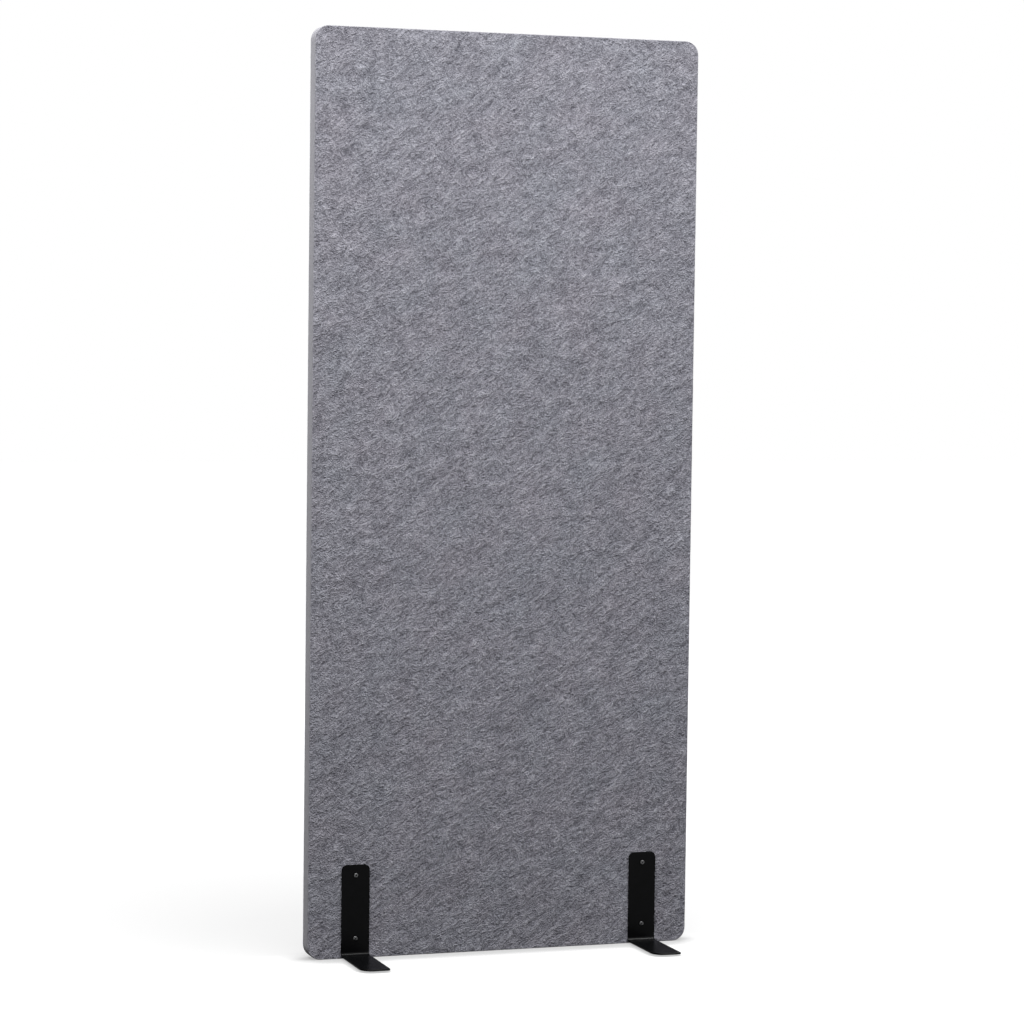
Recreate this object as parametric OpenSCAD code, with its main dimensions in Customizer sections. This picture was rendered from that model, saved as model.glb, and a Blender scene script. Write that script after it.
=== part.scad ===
// Free-standing acoustic divider screen: a felt-faced board that stands on its long
// edge's end between two pairs of bent steel feet, bolted through from front to rear.
// The origin is on the floor, under the middle of the board. X runs along its width,
// its front looks along -Y, and Z is up. All lengths are in millimetres.

/* [Board] */
// Width of the board
board_w = 700; // [500:10:1200]
// Height of the board
board_h = 1600; // [1000:10:2000]
// Thickness of the pressed-fibre core
core_t = 24; // [18:1:40]
// Thickness of the felt skin on each face
skin_t = 3; // [2:0.5:5]
// Radius of the board's four corners
corner_r = 24; // [10:1:60]
// Radius of the soft rim round each skin's outer face
rim_r = 1.2; // [0.4:0.1:1.8]

/* [Feet] */
// Width of a foot bracket
bracket_w = 50; // [40:1:80]
// Thickness of its steel plate
plate_t = 3; // [2:0.5:5]
// Height of its leg, from the underside of the foot
leg_h = 160; // [120:5:240]
// Length of its foot, from the board's face
foot_l = 134; // [90:2:200]
// Inside radius of the bend
bend_r = 5; // [2:0.5:8]
// Radius of the leg's two upper corners
leg_corner_r = 9; // [3:1:18]
// Radius of the front corner on the foot's left, seen from outside
foot_broad_r = 22; // [5:1:24]
// Radius of the front corner on the foot's right
foot_tight_r = 4; // [2:1:18]
// Distance from the board's side to the middle of a bracket
bracket_inset = 85; // [60:5:150]

/* [Pads] */
// Thickness of the rubber pad under each foot
pad_t = 3; // [1:0.5:6]
// Margin between the pad and the edges of the flat foot
pad_margin = 15; // [5:1:16]
// Radius of the pad's corners
pad_corner_r = 4; // [1:0.5:5]

/* [Bolting] */
// Thread diameter of the screws
screw_d = 4; // [3:0.5:5]
// Length of the screws under their heads
screw_l = 20; // [12:1:24]
// Distance from the leg's top to the upper screw
upper_drop = 18; // [12:1:30]
// Height of the lower screw above the underside of the foot
lower_rise = 32; // [20:1:60]
// Wall of the sleeve nut's barrel round its thread
sleeve_wall = 0.45; // [0.4:0.05:1]
// Distance by which the barrel stops short of the screw's head
sleeve_short = 2; // [1:0.5:2.5]
// Thread left free beyond the screw's tip
bore_spare = 4; // [2:1:8]
// Radial gap between the barrel and the holes that it passes through
hole_gap = 0.2; // [0.1:0.05:0.4]
// Radial gap between the screw and the sleeve nut's bore
thread_gap = 0.05; // [0.02:0.01:0.1]

/* [Heads] */
// Overhang of the screw's head past the hole
screw_overhang = 1; // [0.8:0.1:3]
// Overhang of the sleeve nut's head past the hole
sleeve_overhang = 1.8; // [1:0.1:3]
// Height of the straight side of the screw's head
screw_side_h = 1.5; // [0.8:0.1:2.5]
// Height of the straight side of the sleeve nut's head
sleeve_side_h = 0.9; // [0.5:0.1:2]
// Height of the dome on both heads
dome_h = 1.3; // [0.8:0.1:2]
// Span of the cross recess at its mouth
recess_span = 4.4; // [3:0.1:5]
// Width of the recess's wings
recess_slot = 1.1; // [0.8:0.05:1.4]
// Depth of the cross recess
recess_depth = 1.9; // [1.2:0.1:2.1]
// Bevel at the screw's tip
tip_bevel = 0.5; // [0.2:0.1:0.8]
// Angles at which the four screws happened to be left, lower left first
screw_turns = [38, 62, 20, 50];
// Angles of the four sleeve nuts
sleeve_turns = [12, 70, 48, 30];

/* [Hidden] */
$fn = 64;
overrun = 1;
board_t = core_t + 2 * skin_t;
bend_zone = bend_r + plate_t;
stack_t = board_t + 2 * plate_t;
foot_x = board_w / 2 - bracket_inset;
sleeve_l = stack_t - sleeve_short;
sleeve_bore_d = screw_d + 2 * thread_gap;
sleeve_d = sleeve_bore_d + 2 * sleeve_wall;
sleeve_bore_l = screw_l - sleeve_short + bore_spare;
hole_d = sleeve_d + 2 * hole_gap;
screw_head_d = hole_d + 2 * screw_overhang;
sleeve_head_d = hole_d + 2 * sleeve_overhang;
recess_floor_share = 0.4;
sides = ["left", "right"];
levels = ["lower", "upper"];
faces = ["front", "rear"];
hole_rises = [lower_rise, leg_h - upper_drop];

// Flat outline of the board, or of a pad, centred.
module rounded_outline(w, h, r) {
    square([w, h - 2 * r], center = true);
    square([w - 2 * r, h], center = true);
    for (x = [-1, 1], y = [-1, 1])
        translate([x * (w / 2 - r), y * (h / 2 - r)]) circle(r);
}

// Outline of a strip that runs up from the X axis to two rounded corners.
module round_ended_strip(w, l, left_r, right_r) {
    translate([-w / 2, 0]) square([w / 2, l - left_r]);
    square([w / 2, l - right_r]);
    translate([left_r - w / 2, 0]) square([w - left_r - right_r, l]);
    translate([left_r - w / 2, l - left_r]) circle(left_r);
    translate([w / 2 - right_r, l - right_r]) circle(right_r);
}

// Section of a skin: a strip on the X axis whose two upper corners are rounded.
module rimmed_section(w, t, rim) {
    translate([-w / 2, 0]) square([w, t - rim]);
    translate([rim - w / 2, 0]) square([w - 2 * rim, t]);
    for (x = [-1, 1])
        translate([x * (w / 2 - rim), t - rim]) circle(rim);
}

// Slab with rounded corners, and a rounded rim round its upper face.
module soft_slab(w, h, t, r, rim) {
    rotate([90, 0, 0])
        linear_extrude(h - 2 * r, center = true) rimmed_section(w, t, rim);
    rotate([90, 0, 90])
        linear_extrude(w - 2 * r, center = true) rimmed_section(h, t, rim);
    for (x = [-1, 1], y = [-1, 1])
        translate([x * (w / 2 - r), y * (h / 2 - r), 0])
            rotate_extrude() {
                square([r, t - rim]);
                square([r - rim, t]);
                translate([r - rim, t - rim]) circle(rim);
            }
}

// Turns what was drawn flat to stand on the X axis, with its upper face forward.
module upright() {
    rotate([90, 0, 0]) children();
}

// Draws what belongs to the front as it is, and what belongs to the rear turned half
// round, so that the four brackets are one and the same part.
module on_face(rear) {
    rotate(rear ? 180 : 0) children();
}

// Side on which a piece is drawn, before on_face puts it on the named side.
function drawn_side(rear, side) = rear ? -side : side;

// The four holes that the sleeve nuts pass through.
module bolt_holes() {
    for (x = [-foot_x, foot_x], rise = hole_rises)
        translate([x, 0, pad_t + rise])
            upright() cylinder(h = stack_t + 2 * overrun, d = hole_d, center = true);
}

module board_core() {
    color([0.55, 0.54, 0.57])
        difference() {
            translate([0, 0, board_h / 2])
                upright() linear_extrude(core_t, center = true)
                    rounded_outline(board_w, board_h, corner_r);
            bolt_holes();
        }
}

module felt_skin(rear) {
    color([0.5, 0.49, 0.53])
        difference() {
            on_face(rear)
                translate([0, -core_t / 2, board_h / 2])
                    upright() soft_slab(board_w, board_h, skin_t, corner_r, rim_r);
            bolt_holes();
        }
}

// One plate bent to an L, with its back on the plane y = 0 and its foot along -Y.
module bent_plate() {
    upright() linear_extrude(plate_t)
        translate([0, bend_zone])
            round_ended_strip(bracket_w, leg_h - bend_zone, leg_corner_r, leg_corner_r);
    linear_extrude(plate_t)
        mirror([0, 1]) translate([0, bend_zone])
            round_ended_strip(bracket_w, foot_l - bend_zone, foot_broad_r, foot_tight_r);
    rotate([90, 0, 90]) linear_extrude(bracket_w, center = true)
        translate([-bend_zone, bend_zone])
            intersection() {
                difference() {
                    circle(bend_zone);
                    circle(bend_r);
                }
                translate([0, -bend_zone]) square(bend_zone);
            }
}

module foot_bracket(rear, side) {
    color([0.07, 0.07, 0.075])
        difference() {
            on_face(rear)
                translate([drawn_side(rear, side) * foot_x, -board_t / 2, pad_t])
                    bent_plate();
            bolt_holes();
        }
}

module foot_pad(rear, side) {
    flat_l = foot_l - bend_zone;
    color([0.12, 0.12, 0.12])
        on_face(rear)
            translate([drawn_side(rear, side) * foot_x,
                       -board_t / 2 - bend_zone - flat_l / 2, 0])
                linear_extrude(pad_t)
                    rounded_outline(bracket_w - 2 * pad_margin, flat_l - 2 * pad_margin,
                                    pad_corner_r);
}

// Cross recess, cut down from the plane z = 0: four wings that narrow to the floor.
module cross_recess() {
    intersection() {
        for (turn = [0, 90])
            rotate(turn)
                cube([recess_span, recess_slot, 2 * recess_depth], center = true);
        translate([0, 0, -recess_depth])
            cylinder(h = recess_depth, d1 = recess_span * recess_floor_share, d2 = recess_span);
    }
}

// Pan head on the plane z = 0: a straight side under a spherical dome.
module pan_head(d, side_h, turn) {
    head_h = side_h + dome_h;
    dome_r = (pow(d / 2, 2) + pow(dome_h, 2)) / (2 * dome_h);
    difference() {
        intersection() {
            cylinder(h = head_h, d = d);
            translate([0, 0, head_h - dome_r]) sphere(dome_r);
        }
        translate([0, 0, head_h]) rotate(turn) cross_recess();
    }
}

// Places a fastener on a bracket's outer face, with its head outwards.
module at_bolt(side, level) {
    translate([side * foot_x, -stack_t / 2, pad_t + hole_rises[level]])
        upright() children();
}

module screw(side, level, turn) {
    color([0.72, 0.72, 0.74])
        at_bolt(side, level) {
            pan_head(screw_head_d, screw_side_h, turn);
            translate([0, 0, -screw_l])
                rotate_extrude()
                    polygon([
                        [0, 0], [screw_d / 2 - tip_bevel, 0],
                        [screw_d / 2, tip_bevel], [screw_d / 2, screw_l], [0, screw_l]
                    ]);
        }
}

module sleeve_nut(side, level, turn) {
    color([0.72, 0.72, 0.74])
        on_face(true)
            at_bolt(drawn_side(true, side), level) {
                pan_head(sleeve_head_d, sleeve_side_h, turn);
                translate([0, 0, -sleeve_l])
                    difference() {
                        cylinder(h = sleeve_l, d = sleeve_d);
                        translate([0, 0, -overrun])
                            cylinder(h = sleeve_bore_l + overrun, d = sleeve_bore_d);
                    }
            }
}

board_core();
for (f = [0, 1]) {
    felt_skin(f == 1);
    for (s = [0, 1]) {
        place = str(faces[f], "_", sides[s]);
        foot_bracket(f == 1, 2 * s - 1);
        foot_pad(f == 1, 2 * s - 1);
    }
}
for (s = [0, 1], l = [0, 1]) {
    place = str(sides[s], "_", levels[l]);
    i = 2 * s + l;
    screw(2 * s - 1, l, screw_turns[i]);
    sleeve_nut(2 * s - 1, l, sleeve_turns[i]);
}
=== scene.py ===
import bpy
import math
import numpy as np
from mathutils import Matrix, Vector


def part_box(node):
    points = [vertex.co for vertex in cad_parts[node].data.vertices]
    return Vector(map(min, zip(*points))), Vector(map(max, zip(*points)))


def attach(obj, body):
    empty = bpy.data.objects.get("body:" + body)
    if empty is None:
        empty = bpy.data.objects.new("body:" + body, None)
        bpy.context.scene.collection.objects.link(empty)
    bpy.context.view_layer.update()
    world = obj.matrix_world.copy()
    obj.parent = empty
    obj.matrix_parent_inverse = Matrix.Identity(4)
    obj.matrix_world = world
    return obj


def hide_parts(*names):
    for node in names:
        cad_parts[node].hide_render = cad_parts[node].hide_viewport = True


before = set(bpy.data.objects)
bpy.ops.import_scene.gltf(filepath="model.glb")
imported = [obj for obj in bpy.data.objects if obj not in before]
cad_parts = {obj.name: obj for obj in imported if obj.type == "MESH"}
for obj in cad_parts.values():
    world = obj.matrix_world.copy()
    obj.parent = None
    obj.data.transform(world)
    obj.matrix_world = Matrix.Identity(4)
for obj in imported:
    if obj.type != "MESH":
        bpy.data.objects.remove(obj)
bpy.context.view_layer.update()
mm = 0.001


def span(name):
    # lowest and highest corner of a CAD node as arrays
    low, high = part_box(name)
    return np.array(low), np.array(high)


# Meshes: every flat piece is a slab, laid out flat as (across, along, depth) and then put in its place

def cornerDraw(over, radius, inset):
    # how far a rounded corner draws a row in, by the row's height over the outline's end: inset past the
    # corner, radius at the end itself, and between them a circle of radius - inset
    rise = np.clip(radius - over, 0, radius - inset)
    return radius - np.sqrt((radius - inset) ** 2 - rise ** 2)


def endRows(radii, inset, count):
    # heights of the rows through an end's two corners: even steps of each arc, taken together, and
    # pressed towards the arcs' inner end as the outline shrinks by inset
    turn = np.linspace(0, math.pi / 2, count + 1)
    steps = np.unique(np.concatenate([radius * (1 - np.cos(turn)) for radius in radii]).round(7))
    return inset + steps * (1 - inset / max(radii))


def faceGrid(slab, inset, depth):
    # one face as a grid: rows from the low end to the high end, and in each row even columns between the
    # left and right outline, with one column close to either side to keep the rim crisp
    half, reach = slab["length"] / 2, slab["width"] / 2
    low = endRows(slab["lowRadii"], inset, slab["arcRows"])
    high = endRows(slab["highRadii"], inset, slab["arcRows"])
    middle = np.linspace(low[-1], 2 * half - high[-1], slab["rows"] + 1)[1:-1]
    over = np.concatenate([low, middle, 2 * half - high[::-1]])
    draws = [(cornerDraw(over, lowRadius, inset), cornerDraw(2 * half - over, highRadius, inset))
             for lowRadius, highRadius in zip(slab["lowRadii"], slab["highRadii"])]
    left, right = [reach - np.maximum(*draw) for draw in draws]
    edge = slab["rim"] / slab["width"]
    share = np.concatenate([[0], np.linspace(edge, 1 - edge, slab["cols"] - 1), [1]])
    across = np.outer(left, share - 1) + np.outer(right, share)
    along = np.repeat((over - half)[:, None], len(share), 1)
    return np.stack([across, along, np.full_like(across, depth)], -1)


def slabLevels(slab):
    # inset and depth of each ring round the edge: a quarter circle of the front rim, the straight side,
    # and a quarter circle of the back rim
    rim, back = slab["rim"], slab["backRim"]
    turn = np.linspace(0, math.pi / 2, slab["rimRings"] + 1)
    front = np.stack([rim * (1 - np.sin(turn)), rim * (1 - np.cos(turn))], 1)
    side = np.linspace(rim, slab["depth"] - back, slab["sideRings"] + 1)[1:-1]
    side = np.stack([np.zeros_like(side), side], 1)
    rear = np.stack([back * (1 - np.cos(turn)), slab["depth"] - back * (1 - np.sin(turn))], 1)
    return np.concatenate([front, side, rear])


def borderOf(grid):
    # a grid's outermost entries, once round
    return np.concatenate([grid[0, :], grid[1:, -1], grid[-1, -2::-1], grid[-2:0:-1, 0]])


def bridge(loops):
    # quads between each closed loop of point numbers and the next
    pairs = zip(loops, loops[1:])
    return np.concatenate([np.stack([a, np.roll(a, -1), np.roll(b, -1), b], -1) for a, b in pairs])


def slabMesh(slab):
    # points and quads of a closed slab with rounded corners and rims. At each hole the cells round it are
    # left out of both faces, and rings lead from the gap's border to a circle with a small bevel, and
    # through the slab to the other side
    levels = slabLevels(slab)
    front, rear = faceGrid(slab, *levels[0]), faceGrid(slab, *levels[-1])
    rows, cols = front.shape[:2]
    count = rows * cols
    grid = np.arange(count).reshape(rows, cols)
    loop = borderOf(grid)
    points = [front.reshape(-1, 3), rear.reshape(-1, 3)]
    points += [faceGrid(slab, inset, depth).reshape(-1, 3)[loop] for inset, depth in levels[1:-1]]
    used = 2 * count + np.arange((len(levels) - 2) * len(loop)).reshape(-1, len(loop))
    faces = [bridge([loop, *used, loop + count][::-1])]
    kept = np.ones((rows - 1, cols - 1), bool)
    reach = slab.get("holeCells", 0)
    for across, along, radius in slab.get("holes", ()):
        row = np.abs(front[:, 0, 1] - along).argmin()
        col = np.abs(front[row, :, 0] - across).argmin()
        kept[row - reach:row + reach, col - reach:col + reach] = False
        border = borderOf(grid[row - reach:row + reach + 1, col - reach:col + reach + 1])
        angle = np.arctan2(points[0][border, 1] - along, points[0][border, 0] - across)
        bevel, through = slab["holeBevel"], slab["depth"]
        profile = [(radius + bevel, 0), (radius, bevel),
                   (radius, through - bevel), (radius + bevel, through)]
        start = sum(len(part) for part in points)
        ring = np.stack([np.cos(angle), np.sin(angle), np.zeros_like(angle)], 1)
        points += [np.array([across, along, depth]) + r * ring for r, depth in profile]
        rings = start + np.arange(len(profile) * len(border)).reshape(len(profile), -1)
        faces.append(bridge([border, *rings, border + count]))
    quads = np.stack([grid[:-1, :-1], grid[:-1, 1:], grid[1:, 1:], grid[1:, :-1]], -1)[kept]
    faces = np.concatenate([*faces, quads, quads[:, ::-1] + count])
    needed, faces = np.unique(faces, return_inverse=True)
    return np.concatenate(points)[needed], faces.reshape(-1, 4)


def newPiece(name, points, faces, material, body="root", smooth=True):
    # a mesh object at the origin, riding on a body
    mesh = bpy.data.meshes.new(name)
    mesh.vertices.add(len(points))
    mesh.vertices.foreach_set("co", np.asarray(points, np.float32).ravel())
    mesh.loops.add(faces.size)
    mesh.loops.foreach_set("vertex_index", np.asarray(faces, np.int32).ravel())
    mesh.polygons.add(len(faces))
    mesh.polygons.foreach_set("loop_start", np.arange(0, faces.size, faces.shape[1], dtype=np.int32))
    mesh.polygons.foreach_set("use_smooth", np.full(len(faces), smooth))
    mesh.update(calc_edges=True)
    mesh.validate()
    mesh.materials.append(material)
    piece = bpy.data.objects.new(name, mesh)
    bpy.context.scene.collection.objects.link(piece)
    if body:
        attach(piece, body)
    return piece


def mark(piece, name, values):
    # one number for each point, for the material to read
    attribute = piece.data.attributes.new(name, "FLOAT", "POINT")
    attribute.data.foreach_set("value", values.astype(np.float32).ravel())


def waves(seed, count, low, high, lean, stretch):
    # a fixed set of plane waves: numbers per metre between low and high, fewer along the lean
    draw = np.random.default_rng(seed)
    rate = 2 * math.pi * np.exp(draw.uniform(math.log(low), math.log(high), count))
    heading = draw.uniform(0, 2 * math.pi, count)
    along, across = rate * np.cos(heading) / stretch, rate * np.sin(heading)
    kx = along * math.cos(lean) - across * math.sin(lean)
    kz = along * math.sin(lean) + across * math.cos(lean)
    return kx, kz, draw.uniform(0, 2 * math.pi, count)


def relief(x, z, settings):
    # sum of the waves' cosines, scaled to a root mean square of 1
    total = np.zeros_like(x)
    for kx, kz, phase in zip(*waves(**settings)):
        total += np.cos(kx * x + kz * z + phase)
    return total / math.sqrt(settings["count"] / 2)


# Materials

class Nodes:
    # short hand for a material's node tree
    def __init__(self, name):
        self.material = bpy.data.materials.new(name)
        self.material.use_nodes = True
        self.tree = self.material.node_tree
        self.shader = self.tree.nodes["Principled BSDF"]
        self.place = self.new("ShaderNodeTexCoord").outputs["Object"]

    def new(self, kind, **settings):
        node = self.tree.nodes.new(kind)
        for key, value in settings.items():
            setattr(node, key, value)
        return node

    def link(self, start, end):
        self.tree.links.new(start, end)

    def feed(self, socket, value):
        # a number or a colour is set on the socket, another node's output is linked to it
        if isinstance(value, (int, float)):
            socket.default_value = value
        elif isinstance(value, tuple):
            socket.default_value = (*value, 1)
        else:
            self.link(value, socket)

    def stretched(self, vector, lean, length):
        # the pattern's cells, made longer along a direction that rises to the right by lean
        node = self.new("ShaderNodeMapping", vector_type="TEXTURE")
        node.inputs["Rotation"].default_value = (0, -lean, 0)
        node.inputs["Scale"].default_value = (length, 1, 1)
        self.link(vector, node.inputs["Vector"])
        return node.outputs["Vector"]

    def across(self, share):
        # the place with its X and Z drawn together, for layers that lie across Y
        node = self.new("ShaderNodeVectorMath", operation="MULTIPLY")
        self.link(self.place, node.inputs[0])
        node.inputs[1].default_value = (share, 1, share)
        return node.outputs["Vector"]

    def wavered(self, vector, scale, reach):
        # the vector, pushed about by a slow noise, so that straight streaks curl
        slow = self.new("ShaderNodeTexNoise")
        self.link(vector, slow.inputs["Vector"])
        slow.inputs["Scale"].default_value = scale
        slow.inputs["Detail"].default_value = 1.0
        push = self.new("ShaderNodeVectorMath", operation="MULTIPLY_ADD")
        self.link(slow.outputs["Color"], push.inputs[0])
        push.inputs[1].default_value = (reach,) * 3
        self.link(vector, push.inputs[2])
        return push.outputs["Vector"]

    def noise(self, vector, scale, detail=2.0, rough=0.5):
        node = self.new("ShaderNodeTexNoise")
        self.link(vector, node.inputs["Vector"])
        node.inputs["Scale"].default_value = scale
        node.inputs["Detail"].default_value = detail
        node.inputs["Roughness"].default_value = rough
        return node.outputs["Fac"]

    def calc(self, operation, *values):
        node = self.new("ShaderNodeMath", operation=operation)
        for socket, value in zip(node.inputs, values):
            self.feed(socket, value)
        return node.outputs["Value"]

    def blend(self, *parts):
        # sum of noises, each times its weight
        total = None
        for value, weight in parts:
            part = self.calc("MULTIPLY", value, weight)
            total = self.calc("ADD", total, part) if total else part
        return total

    def span(self, value, fromLow, fromHigh, toLow, toHigh):
        node = self.new("ShaderNodeMapRange")
        self.link(value, node.inputs["Value"])
        ends = {"From Min": fromLow, "From Max": fromHigh, "To Min": toLow, "To Max": toHigh}
        for key, number in ends.items():
            node.inputs[key].default_value = number
        return node.outputs["Result"]

    def share(self, value, low, high):
        # 0 up to low, 1 from high on
        return self.span(value, low, high, 0.0, 1.0)

    def marked(self, name):
        return self.new("ShaderNodeAttribute", attribute_name=name).outputs["Fac"]

    def hair(self, vector, scale, width):
        # thin curly lines: where a smooth noise passes its middle value
        smooth = self.noise(vector, scale, detail=1.0)
        off = self.calc("ABSOLUTE", self.calc("SUBTRACT", smooth, 0.5))
        return self.span(off, 0.0, width, 1.0, 0.0)

    def tint(self, factor, low, high, kind="MIX"):
        # from low to high by factor: the node's sockets 6 and 7 are its two colours
        node = self.new("ShaderNodeMix", data_type="RGBA", blend_type=kind)
        for place, value in ((0, factor), (6, low), (7, high)):
            self.feed(node.inputs[place], value)
        return node.outputs[2]

    def colour(self, socket):
        self.link(socket, self.shader.inputs["Base Color"])

    def bump(self, height, strength, distance):
        node = self.new("ShaderNodeBump")
        for name, value in (("Height", height), ("Strength", strength), ("Distance", distance)):
            self.feed(node.inputs[name], value)
        self.link(node.outputs["Normal"], self.shader.inputs["Normal"])

    def set(self, **values):
        for key, value in values.items():
            self.shader.inputs[key.replace("_", " ")].default_value = value


felt = {
    "lean": math.radians(45),  # the streaks rise to the right
    "length": 1.65,  # of a streak, against its width
    "dark": (0.0303, 0.0298, 0.0462),
    "pale": (0.695, 0.689, 0.769),
    # each noise's cells to a metre, and what it weighs in the mix of tones and in the relief
    "coarse": 62, "fine": 248, "grain": 403, "cloud": 17, "paleHair": 150, "darkHair": 170,
    "weights": {"coarse": 0.36, "fine": 0.56, "grain": 0.62, "cloud": 0.03},
    "heights": {"coarse": 0.9, "fine": 0.6, "grain": 0.5},
    "hairWidth": 0.05, "hairWeight": 0.03,
    "darkLean": 0.7, "darkLength": 1.5,  # the dark hairs' lean past the streaks', and their length
    "curl": 30, "curlReach": 0.011,  # the streaks' bends to a metre, and how far they go, in metres
    "blush": 11, "blushReach": 0.022,  # slow drift of the red: cells to a metre, and share up and down
    "reach": 0.515,  # of the mix, to either side of its middle, from dark to pale
    "curve": 1.5,  # over 1, pale streaks are scarcer than dark ones
    "relief": 3.8 * mm,
    "cutRelief": 0.1,  # share of it where the skin is cut
}
core = {
    "dark": (0.222, 0.219, 0.244), "pale": (0.388, 0.383, 0.418),
    "layers": 900, "specks": 420,  # cells to a metre
    "layerDraw": 0.12,  # the layers are longer along the board than through it by one over this
}


def cutFibre(m):
    # how pale the fibre is where the board or a skin is cut: layers across the depth, and specks
    layers = m.noise(m.across(core["layerDraw"]), core["layers"], detail=3.0, rough=0.6)
    specks = m.noise(m.place, core["specks"], detail=4.0, rough=0.65)
    return m.share(m.blend((layers, 0.5), (specks, 0.5)), low=0.36, high=0.64)


def feltMaterial():
    # streaks of three sizes, slow clouds and thin hairs make one mix, whose middle part runs from dark to
    # pale. The cut side has the core's fibre and hardly any relief
    m = Nodes("heatherFelt")
    curled = m.wavered(m.place, felt["curl"], felt["curlReach"])
    streaks = m.stretched(curled, felt["lean"], felt["length"])
    parts = {name: m.noise(vector, felt[name], detail=1.0, rough=1.0)
             for name, vector in (("coarse", streaks), ("fine", streaks), ("grain", curled))}
    parts["cloud"] = m.noise(m.place, felt["cloud"])
    crossing = m.stretched(curled, felt["lean"] + felt["darkLean"], felt["darkLength"])
    hairs = [(m.hair(streaks, felt["paleHair"], felt["hairWidth"]), felt["hairWeight"]),
             (m.hair(crossing, felt["darkHair"], felt["hairWidth"]), -felt["hairWeight"])]
    mix = m.blend(*[(parts[name], weight) for name, weight in felt["weights"].items()], *hairs)
    middle, reach = sum(felt["weights"].values()) / 2, felt["reach"]
    tone = m.calc("POWER", m.share(mix, middle - reach, middle + reach), felt["curve"])
    blush = m.share(m.noise(m.place, felt["blush"], rough=0.6), low=0.3, high=0.7)
    drift = m.tint(blush, (1 - felt["blushReach"], 1, 1), (1 + felt["blushReach"], 1, 1))
    face = m.tint(1.0, m.tint(tone, felt["dark"], felt["pale"]), drift, "MULTIPLY")
    cut = m.marked("cut")
    m.colour(m.tint(cut, face, m.tint(cutFibre(m), core["dark"], core["pale"])))
    height = m.blend(*[(parts[name], weight) for name, weight in felt["heights"].items()])
    m.bump(height, strength=m.span(cut, 0.0, 1.0, 1.0, felt["cutRelief"]), distance=felt["relief"])
    m.set(Roughness=0.95, Specular_IOR_Level=0.15, Sheen_Weight=0.1, Sheen_Roughness=0.6)
    return m.material


def coreMaterial():
    m = Nodes("pressedFibre")
    mix = cutFibre(m)
    m.colour(m.tint(mix, core["dark"], core["pale"]))
    m.bump(mix, strength=0.35, distance=0.17 * mm)
    m.set(Roughness=0.9, Specular_IOR_Level=0.2, Sheen_Weight=0.1, Sheen_Roughness=0.6)
    return m.material


coat = {
    "fresh": (0.0018, 0.0019, 0.0021), "worn": (0.0028, 0.0029, 0.0033),
    "wear": 60, "peel": 700, "grain": 2600,  # cells to a metre
    "rough": (0.24, 0.32),
    "gloss": 0.04,  # specular level of a flat face
}


def coatMaterial():
    m = Nodes("blackPowderCoat")
    peel = m.noise(m.place, coat["peel"])
    grain = m.noise(m.place, coat["grain"], rough=0.6)
    wear = m.share(m.noise(m.place, coat["wear"], detail=3.0, rough=0.6), low=0.35, high=0.65)
    m.colour(m.tint(wear, coat["fresh"], coat["worn"]))
    m.bump(m.blend((peel, 1.0), (grain, 0.35)), strength=0.2, distance=0.1 * mm)
    m.link(m.span(grain, 0.3, 0.7, *coat["rough"]), m.shader.inputs["Roughness"])
    m.link(m.calc("MULTIPLY", m.marked("gloss"), coat["gloss"]), m.shader.inputs["Specular IOR Level"])
    return m.material


zinc = {
    # recessShade is painted shade: a near-black laid into the cross recess by how far a point is sunk
    "dull": (0.058, 0.058, 0.059), "bright": (0.094, 0.094, 0.096), "recessShade": (0.008, 0.008, 0.008),
    "brushed": 900, "spots": 2400,  # cells to a metre
    "rough": (0.26, 0.4),
}


def zincMaterial():
    m = Nodes("zincPlate")
    brushed = m.noise(m.place, zinc["brushed"], detail=3.0, rough=0.6)
    plate = m.tint(m.share(brushed, low=0.35, high=0.65), zinc["dull"], zinc["bright"])
    # painted shade in the cross recess: the colour darkens towards recessShade as the point is sunk
    m.colour(m.tint(m.marked("sunk"), plate, zinc["recessShade"]))
    m.link(m.span(m.noise(m.place, zinc["spots"]), 0.3, 0.7, *zinc["rough"]), m.shader.inputs["Roughness"])
    m.bump(brushed, strength=0.1, distance=0.05 * mm)
    m.set(Metallic=1.0)
    return m.material


rubber = {
    "dark": (0.012, 0.012, 0.012), "pale": (0.022, 0.022, 0.022),
    "grain": 1500,  # cells to a metre
}


def rubberMaterial():
    m = Nodes("padRubber")
    grain = m.noise(m.place, rubber["grain"], detail=3.0, rough=0.6)
    m.colour(m.tint(m.share(grain, low=0.35, high=0.65), rubber["dark"], rubber["pale"]))
    m.bump(grain, strength=0.3, distance=0.15 * mm)
    m.set(Roughness=0.8, Specular_IOR_Level=0.3)
    return m.material


feltLook = feltMaterial()
coreLook = coreMaterial()
coatLook = coatMaterial()
zincLook = zincMaterial()
rubberLook = rubberMaterial()
print("materials made")

# Bolt holes: the frame's screws say where they are

bore = {"radius": 2.7 * mm, "bevel": 0.15 * mm}
sides = ("left", "right")
boltRows = ("lower", "upper")


def boltHoles(face, boltSides, acrossMiddle, alongOf):
    # the holes of a slab that stands on one face of the board: across runs to the right as seen from
    # outside, and alongOf turns a height into the slab's own place
    places = [sum(span(f"{side}_{row}_screw")) / 2 for side in boltSides for row in boltRows]
    return [((place[0] - acrossMiddle) * -face, alongOf(place[2]), bore["radius"]) for place in places]


# Board: two felt skins on a core

board = {"radius": 24 * mm}
skin = {
    "arcRows": 10, "rows": 300, "cols": 136, "rimRings": 5, "sideRings": 2, "holeCells": 2,
    "rim": 1.2 * mm, "backRim": 0.05 * mm,
    "swell": 0.20 * mm,  # root mean square height of the felt's unevenness
    "swellLimit": 2.5,  # its greatest height, against that
    "waves": dict(count=90, low=14, high=60, lean=felt["lean"], stretch=1.6),
}


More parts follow.
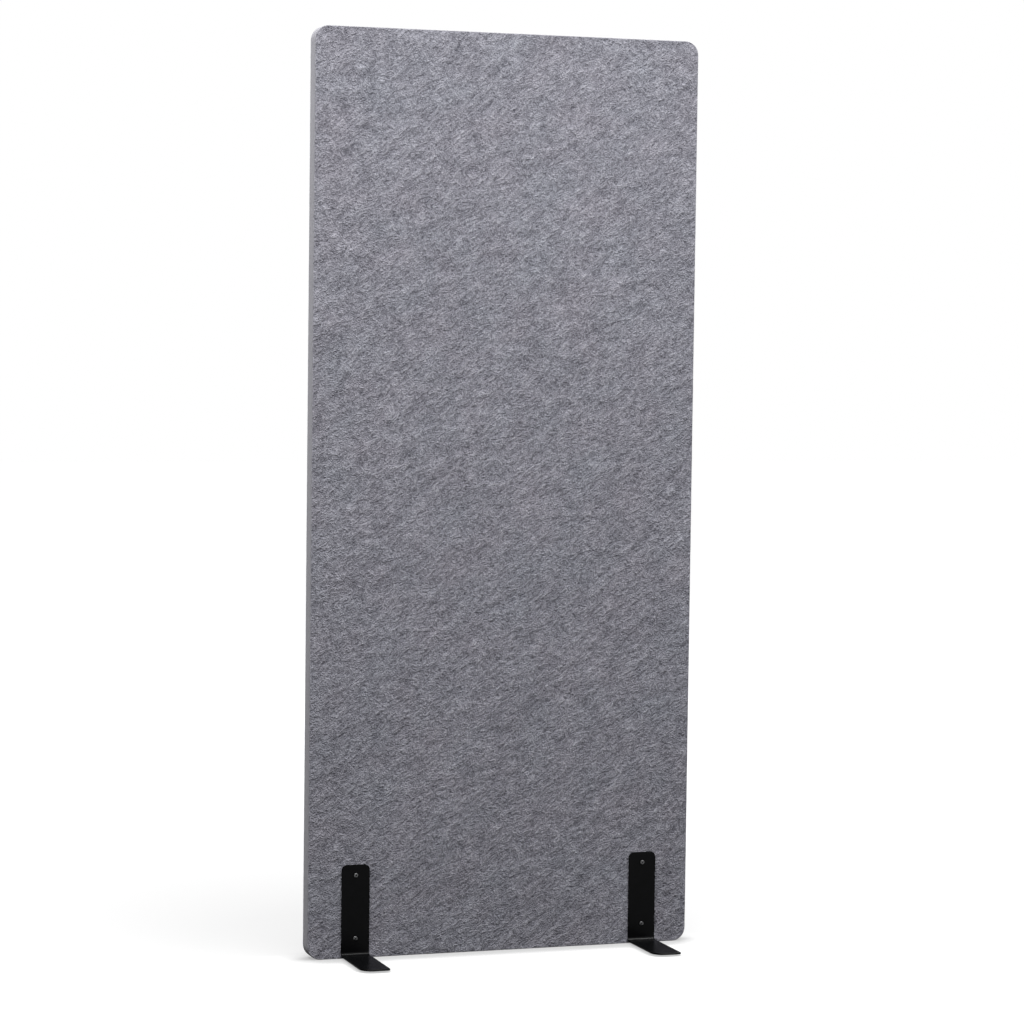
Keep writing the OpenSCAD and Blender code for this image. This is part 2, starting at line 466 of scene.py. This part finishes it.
def boardSlab(settings, low, high, face):
    # a layer of the board between two corners of its CAD box, with the board's rounding and bolt holes
    middle = (low[2] + high[2]) / 2
    radii = (board["radius"],) * 2
    return dict(settings, width=high[0] - low[0], length=high[2] - low[2], depth=high[1] - low[1],
                lowRadii=radii, highRadii=radii, holeBevel=bore["bevel"],
                holes=boltHoles(face, sides, 0, lambda height: height - middle))


def feltSkin(face, node, seed):
    # the outer face is uneven by a sum of waves, which fades through the skin's depth, and the cut side's
    # paler fibre shows from the face's edge on
    low, high = span(node)
    points, faces = slabMesh(boardSlab(skin, low, high, face))
    depth = points[:, 2]
    cut = depth > 0
    limit = skin["swellLimit"]
    uneven = np.clip(relief(points[:, 0], points[:, 1], dict(skin["waves"], seed=seed)), -limit, limit)
    depth += skin["swell"] * (1 + uneven) * (1 - depth / depth.max())
    place = np.empty_like(points)
    place[:, 0] = points[:, 0] * -face
    place[:, 1] = (low[1] if face < 0 else high[1]) - face * points[:, 2]
    place[:, 2] = points[:, 1] + (low[2] + high[2]) / 2
    piece = newPiece("felt_skin_" + ("front" if face < 0 else "rear"), place, faces, feltLook)
    mark(piece, "cut", cut)
    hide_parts(node)


feltSkin(-1, "front_felt_skin", seed=11)
feltSkin(1, "rear_felt_skin", seed=23)

rind = {
    "arcRows": 10, "rows": 222, "cols": 100, "rimRings": 2, "sideRings": 9, "holeCells": 2,
    "rim": 0.25 * mm, "backRim": 0.25 * mm,
}


def boardCore():
    # the middle layer, a plain slab stood upright: depth runs back from its front face
    low, high = span("board_core")
    points, faces = slabMesh(boardSlab(rind, low, high, -1))
    place = np.stack([points[:, 0], low[1] + points[:, 2], points[:, 1] + (low[2] + high[2]) / 2], 1)
    piece = newPiece("core_board", place, faces, coreLook)
    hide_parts("board_core")


boardCore()
print("board made")

# Feet: a flat blank, bent to an L

blank = {
    "arcRows": 8, "rows": 180, "cols": 24, "rimRings": 3, "sideRings": 2, "holeCells": 3,
    "plate": 3 * mm, "bend": 5 * mm, "rim": 0.45 * mm,
    "bendGloss": 2.9, "sideGloss": 0.3, "tipGloss": 4.0, "tip": 4 * mm,  # against the flat faces' gloss
    "legRadius": 9 * mm, "broadRadius": 22 * mm, "tightRadius": 4 * mm,
}


def bentFoot(face, side, node):
    # the blank's length runs from the foot's tip, round the bend, to the leg's top. In the bend a point
    # turns about an axis at bend + plate from both outer faces, by its share of the quarter turn
    low, high = span(node)
    leg, foot, zone = high[2] - low[2], high[1] - low[1], blank["plate"] + blank["bend"]
    turnLength = zone * math.pi / 2
    flat = foot - zone
    length = flat + turnLength + leg - zone
    slab = dict(
        blank, width=high[0] - low[0], length=length, depth=blank["plate"], backRim=blank["rim"],
        lowRadii=(blank["broadRadius"], blank["tightRadius"]), highRadii=(blank["legRadius"],) * 2,
        holeBevel=bore["bevel"],
        holes=boltHoles(face, [side], (low[0] + high[0]) / 2,
                        lambda height: flat + turnLength + height - low[2] - zone - length / 2))
    points, faces = slabMesh(slab)
    across, along, depth = points[:, 0], points[:, 1] + length / 2, points[:, 2]
    turn = np.clip((along - flat) / turnLength, 0, 1) * math.pi / 2
    radius = blank["bend"] + depth
    standing = along > flat + turnLength
    bentOut = np.where(standing, zone - radius, zone - radius * np.sin(turn))
    out = np.where(along < flat, foot - along, bentOut)
    rise = np.where(standing, along - flat - turnLength + zone, zone - radius * np.cos(turn))
    back = high[1] if face < 0 else low[1]
    place = np.stack([across * -face + (low[0] + high[0]) / 2, back + face * out, low[2] + rise], 1)
    piece = newPiece(f"foot_{'front' if face < 0 else 'rear'}_{side}", place, faces, coatLook)
    cutSide = (depth > 0) & (depth < blank["plate"])
    bent = 1 + (blank["bendGloss"] - 1) * np.sin(2 * turn)
    tip = blank["sideGloss"] + (blank["tipGloss"] - blank["sideGloss"]) * (along < blank["tip"])
    mark(piece, "gloss", np.where(cutSide, tip, bent))
    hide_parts(node)


pad = {
    "arcRows": 5, "rows": 30, "cols": 10, "rimRings": 2, "sideRings": 1,
    "rim": 0.3 * mm, "backRim": 0.05 * mm,
    "lowRadii": (4 * mm, 4 * mm), "highRadii": (4 * mm, 4 * mm),
}


def rubberPad(face, side, node):
    # a plain slab that lies flat: its soft rim is on the floor and its sharp one under the foot
    low, high = span(node)
    size, middle = high - low, (low + high) / 2
    points, faces = slabMesh(dict(pad, width=size[0], length=size[1], depth=size[2]))
    place = np.stack([middle[0] - points[:, 0], middle[1] + points[:, 1], low[2] + points[:, 2]], 1)
    piece = newPiece(f"pad_{'front' if face < 0 else 'rear'}_{side}", place, faces, rubberLook)
    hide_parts(node)


for face, faceName in ((-1, "front"), (1, "rear")):
    for side in sides:
        bentFoot(face, side, f"{faceName}_{side}_foot_bracket")
        rubberPad(face, side, f"{faceName}_{side}_foot_pad")
print("feet made")

# Fasteners: domed heads with a cross recess on threaded shanks or hollow barrels

head = {
    "rings": 64, "steps": 144, "crown": 1.3 * mm, "soft": 0.12 * mm,
    "span": 4.4 * mm, "slot": 1.1 * mm, "deep": 1.9 * mm, "wall": 0.14 * mm, "endSlope": 0.6,
    "darkFrom": 0.5,  # share of the recess' depth from which its painted shade is darkest
}
screw = {
    "side": 1.5 * mm, "shank": 2.0 * mm, "pitch": 0.7 * mm, "rowsPerPitch": 6, "thread": 0.22 * mm,
    "point": 0.5 * mm, "pointShare": 0.72,  # length of the tip, and its end's share of the radius
    "turns": {"left_lower": 38, "left_upper": 62, "right_lower": 20, "right_upper": 50},
}
nut = {
    "side": 0.9 * mm, "barrel": 2.5 * mm, "bore": 2.05 * mm, "boreLength": 22 * mm,
    "turns": {"left_lower": 12, "left_upper": 70, "right_lower": 48, "right_upper": 30},
}


def recessShare(x, y, turn):
    # depth of the cross at a point as a share of its full depth: full where the point is inside either
    # wing, with steep sloping walls, and less towards the wings' ends
    a = x * math.cos(turn) + y * math.sin(turn)
    b = y * math.cos(turn) - x * math.sin(turn)
    half, slot, wall = head["span"] / 2, head["slot"] / 2, head["wall"]

    def wing(along, over):
        across = np.clip((slot + wall / 2 - np.abs(over)) / wall, 0, 1)
        run = np.clip((half - np.abs(along)) / (half * head["endSlope"]), 0, 1)
        return across * across * (3 - 2 * across) * run

    return np.maximum(wing(a, b), wing(b, a))


def headRings(radius, side, turn, angle):
    # a spherical dome over the head's round side, less the recess: radius and height of every ring, from
    # the middle out, then down the side and in under it, and how far each point is sunk
    dome = (radius ** 2 + head["crown"] ** 2) / (2 * head["crown"])
    r = np.repeat((radius * np.linspace(0, 1, head["rings"] + 1)[1:])[:, None], len(angle), 1)
    sunk = recessShare(r * np.cos(angle), r * np.sin(angle), turn)
    height = side + head["crown"] - dome + np.sqrt(dome ** 2 - r ** 2) - head["deep"] * sunk
    soft = head["soft"]
    lip = ringsOf([(radius, side - soft), (radius, soft), (radius - soft, 0)], angle)
    rings = np.concatenate([np.stack([r, height], -1), lip])
    return rings, np.concatenate([sunk, np.zeros(lip.shape[:2])])


def ringsOf(profile, angle):
    # a round profile of (radius, height) pairs, once for each angle
    return np.repeat(np.array(profile)[:, None, :], len(angle), 1)


def threadedShank(length, angle):
    # the radius falls and rises with the turn and the way down, one pitch to a turn, and it draws in to
    # the tip
    rows = int(length / screw["pitch"] * screw["rowsPerPitch"])
    down = np.linspace(0, length, rows + 1)[:, None]
    phase = (down / screw["pitch"] + angle / (2 * math.pi)) % 1.0
    cut = screw["thread"] * np.abs(2 * phase - 1) * np.clip(down / screw["pitch"], 0, 1)
    tip = np.clip((length - down) / screw["point"], 0, 1)
    radius = (screw["shank"] - cut) * (screw["pointShare"] + (1 - screw["pointShare"]) * tip)
    return np.stack([radius, np.repeat(-down, len(angle), 1)], -1)


def hollowBarrel(length, angle):
    # down the outside, in over the open end, and up the bore to its blind end
    outer, inner, soft = nut["barrel"], nut["bore"], head["soft"]
    return ringsOf([(outer, 0), (outer, soft - length), (outer - soft, -length), (inner + soft, -length),
                    (inner, soft - length), (inner, nut["boreLength"] - length),
                    (inner / 2, nut["boreLength"] - length + inner / 2)], angle)


def capOf(ring):
    # a strip of quads that closes a ring
    near, far = np.split(ring, 2)
    far = far[::-1]
    return np.stack([near[:-1], near[1:], far[1:], far[:-1]], -1)


def fastener(name, node, settings, turn, face, shank):
    # the rings stand on an axis along Y, with the head's top at the CAD box's outer side
    low, high = span(node)
    middle, radius = (low + high) / 2, (high[0] - low[0]) / 2
    top = settings["side"] + head["crown"]
    angle = np.linspace(0, 2 * math.pi, head["steps"], endpoint=False)
    rings, sunk = headRings(radius, settings["side"], turn, angle)
    below = shank(high[1] - low[1] - top, angle)
    rings = np.concatenate([rings, below])
    sunk = np.concatenate([sunk, np.zeros(below.shape[:2])])
    r, height = rings[..., 0], rings[..., 1]
    seat = (low[1] + top) if face < 0 else (high[1] - top)
    across, up = middle[0] - face * r * np.cos(angle), middle[2] + r * np.sin(angle)
    place = np.stack([across, seat + face * height, up], -1)
    index = np.arange(r.size).reshape(r.shape)
    faces = np.concatenate([capOf(index[0]), bridge(index[::-1]), capOf(index[-1])[:, ::-1]])
    piece = newPiece(name, place.reshape(-1, 3), faces, zincLook)
    # the sunk share, which sets the zinc's painted shade in the recess
    mark(piece, "sunk", np.clip(sunk / head["darkFrom"], 0, 1))
    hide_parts(node)


for spot, degrees in screw["turns"].items():
    fastener(f"screw_{spot}", f"{spot}_screw", screw, math.radians(degrees), -1, threadedShank)
for spot, degrees in nut["turns"].items():
    fastener(f"sleeve_nut_{spot}", f"{spot}_sleeve_nut", nut, math.radians(degrees), 1, hollowBarrel)
print("fasteners made")

# Studio: a white floor and background, a ring of ceiling panels, and the camera

studio = {
    "sky": 0.015,  # the white background's light on the object
    "floorGives": 0.04, "floorSeen": 0.27,  # the floor's white, as the object and as the camera meets it
    "half": 20.0, "drop": 0.2 * mm,  # the floor's half side in metres, and how far it lies under the pads
    # the floor's painted shadow: its glow rises from nearGlow close to shadeAt to farGlow far from it
    "shadeAt": (-0.15, 0.08, 0.0), "near": 0.35, "far": 3.6, "nearGlow": 0.50, "farGlow": 1.0,
    "frontGlow": 0.26, "frontFrom": 0.05, "frontTo": -0.06,  # painted glow added in front, between these two Y
    # painted contact shadow: how far the ambient occlusion looks, its strength behind and in front, and
    # the least it leaves
    "contact": 54 * mm, "contactShade": 0.55, "frontShade": 0.90, "leastShade": 0.68,
    "tipFrom": -0.12, "tipTo": -0.155, "tipShare": 0.15,  # the painted contact shadow fades at the feet's tips
}


def seenShare(tree):
    # 1 for camera, glossy and transmission rays, 0 for the rest
    path = tree.nodes.new("ShaderNodeLightPath")
    total = path.outputs["Is Camera Ray"]
    for name in ("Is Glossy Ray", "Is Transmission Ray"):
        either = tree.nodes.new("ShaderNodeMath")
        either.operation = "MAXIMUM"
        tree.links.new(total, either.inputs[0])
        tree.links.new(path.outputs[name], either.inputs[1])
        total = either.outputs[0]
    return total


def whiteFloor():
    # seen by the camera it is white with the object's soft shadow, partly painted: part of it glows by
    # itself, more so away from the object and in front of it, which paints a shadow near the object; part
    # is lit by the panels; and both are darkened right beside the object by a painted contact shadow,
    # least so at the feet's tips. The rest of the light meets a plain grey floor
    corners = ((-1, -1), (1, -1), (1, 1), (-1, 1))
    points = np.array([(x * studio["half"], y * studio["half"], -studio["drop"]) for x, y in corners])
    m = Nodes("whiteFloor")
    m.tree.nodes.remove(m.shader)
    distance = m.new("ShaderNodeVectorMath", operation="DISTANCE")
    m.link(m.place, distance.inputs[0])
    distance.inputs[1].default_value = studio["shadeAt"]
    away = m.span(distance.outputs["Value"], studio["near"], studio["far"],
                  studio["nearGlow"], studio["farGlow"])
    axes = m.new("ShaderNodeSeparateXYZ")
    m.link(m.place, axes.inputs[0])
    front = m.share(axes.outputs["Y"], studio["frontFrom"], studio["frontTo"])
    glow = m.calc("ADD", away, m.calc("MULTIPLY", front, studio["frontGlow"]))
    nearness = m.new("ShaderNodeAmbientOcclusion", samples=8)
    nearness.inputs["Distance"].default_value = studio["contact"]
    tips = m.span(axes.outputs["Y"], studio["tipFrom"], studio["tipTo"], 1.0, studio["tipShare"])
    deep = m.calc("ADD", m.calc("MULTIPLY", front, studio["frontShade"]), studio["contactShade"])
    deep = m.calc("MULTIPLY", deep, tips)
    # painted contact shadow: the floor's glow and lit colour are darkened where the object is near, down
    # to leastShade
    loss = m.calc("MULTIPLY", m.calc("SUBTRACT", 1.0, nearness.outputs["AO"]), deep)
    shade = m.calc("MAXIMUM", m.calc("SUBTRACT", 1.0, loss), studio["leastShade"])
    seen, given = m.new("ShaderNodeBsdfDiffuse"), m.new("ShaderNodeBsdfDiffuse")
    m.link(m.calc("MULTIPLY", shade, studio["floorSeen"]), seen.inputs["Color"])
    given.inputs["Color"].default_value = (studio["floorGives"],) * 3 + (1,)
    light, both = m.new("ShaderNodeEmission"), m.new("ShaderNodeAddShader")
    mix = m.new("ShaderNodeMixShader")
    m.link(m.calc("MULTIPLY", glow, shade), light.inputs["Strength"])
    m.link(seen.outputs[0], both.inputs[0])
    m.link(light.outputs[0], both.inputs[1])
    m.link(seenShare(m.tree), mix.inputs[0])
    m.link(given.outputs[0], mix.inputs[1])
    m.link(both.outputs[0], mix.inputs[2])
    m.link(mix.outputs[0], m.tree.nodes["Material Output"].inputs["Surface"])
    newPiece("floor", points, np.array([[0, 1, 2, 3]]), m.material, body=None, smooth=False)


def whiteSky():
    # white to the camera and to reflections, and hardly any light to the rest
    world = bpy.data.worlds.new("sky")
    bpy.context.scene.world = world
    world.use_nodes = True
    tree = world.node_tree
    strength = tree.nodes.new("ShaderNodeMapRange")
    tree.links.new(seenShare(tree), strength.inputs["Value"])
    strength.inputs["To Min"].default_value = studio["sky"]
    strength.inputs["To Max"].default_value = 1.0
    tree.nodes["Background"].inputs["Color"].default_value = (1, 1, 1, 1)
    tree.links.new(strength.outputs["Result"], tree.nodes["Background"].inputs["Strength"])


def placed(thing, at, right, up, back):
    # puts a lamp or the camera at a point, with its own three axes along the given ones
    matrix = Matrix.Identity(4)
    for column, axis in enumerate((right, up, back)):
        for row in range(3):
            matrix[row][column] = axis[row]
    matrix.translation = at
    thing.matrix_world = matrix
    bpy.context.scene.collection.objects.link(thing)


# four panels round an open middle, over which the board's top edge would be lit too much
ceiling = {
    "height": 3.2, "power": 28.8,  # watts to a square metre
    "x": (-2.3, -1.3, 1.2, 2.2), "y": (-2.45, -1.15, 1.3, 2.0),  # outer side, opening, outer side
}


def ceilingPanels():
    x, y = ceiling["x"], ceiling["y"]
    spans = {
        "left": (x[:2], y[::3]), "right": (x[2:], y[::3]),
        "front": (x[1:3], y[:2]), "rear": (x[1:3], y[2:]),
    }
    for name, (across, along) in spans.items():
        light = bpy.data.lights.new(name, "AREA")
        light.shape = "RECTANGLE"
        light.size, light.size_y = across[1] - across[0], along[1] - along[0]
        light.energy = ceiling["power"] * light.size * light.size_y
        place = (sum(across) / 2, sum(along) / 2, ceiling["height"])
        placed(bpy.data.objects.new(name, light), place, (1, 0, 0), (0, 1, 0), (0, 0, 1))


view = {
    "imageSize": 1024, "focalPixels": 3142.1, "sensor": 36.0,
    "at": (-1.7656, -5.1913, 1.0814), "yaw": -18.9589, "pitch": 3.2452, "roll": 0.7169,
}


def makeCamera():
    # the camera fitted to the photograph: it looks along +Y, turned left by yaw, down by pitch, and rolled
    yaw, pitch, roll = (math.radians(view[key]) for key in ("yaw", "pitch", "roll"))
    ahead = math.cos(pitch)
    forward = np.array([-math.sin(yaw) * ahead, math.cos(yaw) * ahead, -math.sin(pitch)])
    level = np.array([math.cos(yaw), math.sin(yaw), 0.0])
    up = np.cross(level, forward)
    data = bpy.data.cameras.new("camera")
    data.sensor_width = view["sensor"]
    data.lens = view["focalPixels"] / view["imageSize"] * view["sensor"]
    camera = bpy.data.objects.new("camera", data)
    placed(camera, view["at"], level * math.cos(roll) + up * math.sin(roll),
           up * math.cos(roll) - level * math.sin(roll), -forward)
    bpy.context.scene.camera = camera


whiteFloor()
whiteSky()
ceilingPanels()
makeCamera()
bpy.context.scene.view_settings.view_transform = "Standard"
print("studio made")
